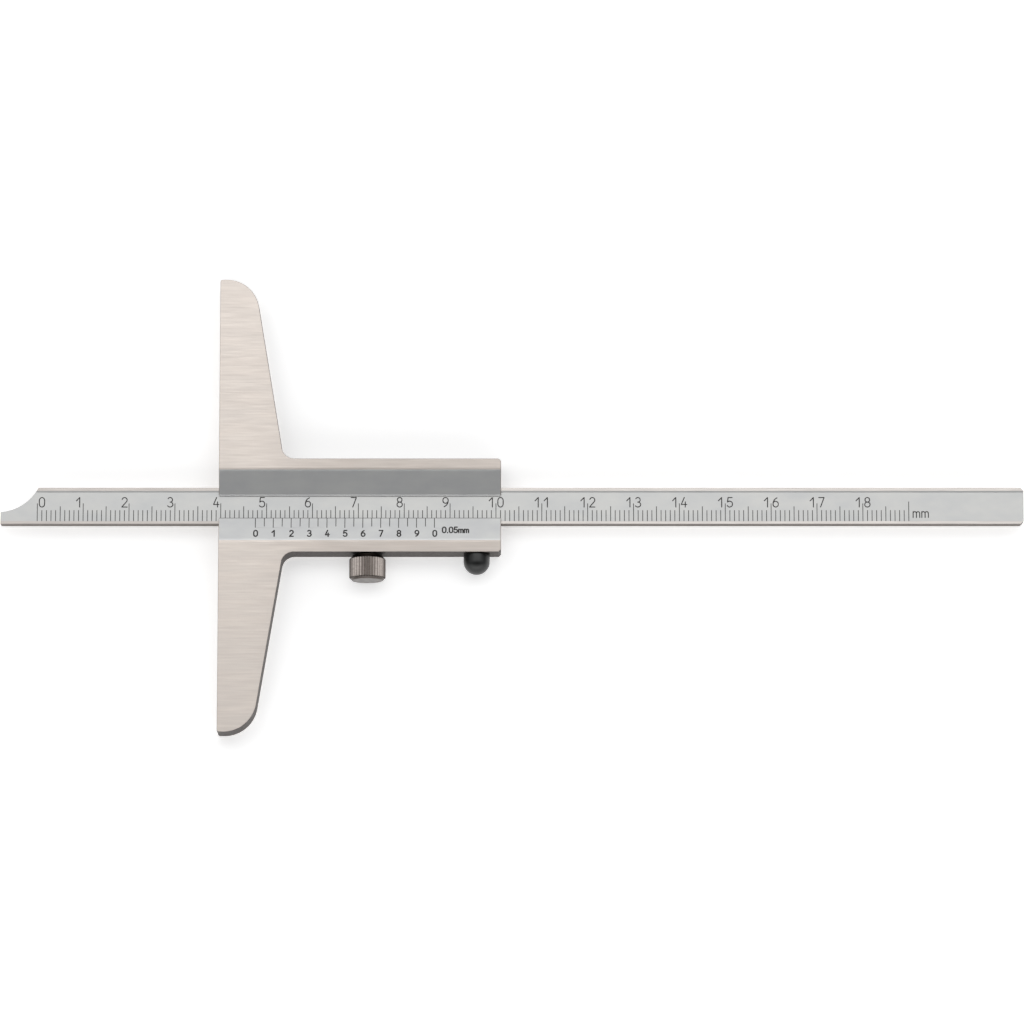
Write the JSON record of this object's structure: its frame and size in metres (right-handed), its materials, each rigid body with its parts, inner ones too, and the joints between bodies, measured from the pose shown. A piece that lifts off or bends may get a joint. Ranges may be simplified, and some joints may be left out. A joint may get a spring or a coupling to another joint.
{
  "type": "depth caliper",
  "caption": "Vernier depth caliper: one-piece bridge and guide, a railed sliding beam with a relieved tip, a knurled clamp screw and a black thumb rest.",
  "frame": {"origin": "where the centre line of the beam crosses the measuring face of the bridge", "axes": "+X along the beam, away from its tip; +Y along the bridge; +Z out of the scales, with the caliper lying on its back"},
  "size_m": [0.223, 0.1, 0.0078],
  "materials": {
    "ground_steel": "fine ground stainless steel, grain along the beam",
    "satin_chrome": "stainless steel with a satin chromed scale face",
    "brass": "rolled strip",
    "knurled_steel": "turned and straight-knurled steel",
    "black_plastic": "moulded, glossy",
    "black_filling": "black lacquer in the engraved lines"
  },
  "bodies": {
    "slide": {"slide": "ground_steel", "vernier_scale": "black_filling", "thumb_rest": "black_plastic"},
    "beam": {"beam": "satin_chrome", "beam_scale": "black_filling"},
    "gib": {"gib_strip": "brass"},
    "clamp_screw": {"clamp_screw": "knurled_steel"}
  },
  "joints": [
    {"name": "beam_travel", "type": "slide", "parent": "slide", "child": "beam", "axis": [-1, 0, 0], "range_m": [-0.0476, 0.1024]},
    {"name": "gib_release", "type": "slide", "parent": "slide", "child": "gib", "axis": [0, -1, 0], "range_m": [0, 0.00025]},
    {"name": "clamp_turn", "type": "hinge", "parent": "gib", "child": "clamp_screw", "pos_m": [0.0324, -0.0105, 0], "axis": [0, -1, 0], "range_deg": [0, 180]}
  ],
  "couplings": [
    {"joint": "clamp_turn", "follows": "gib_release", "rad_per_m": 12566}
  ]
}
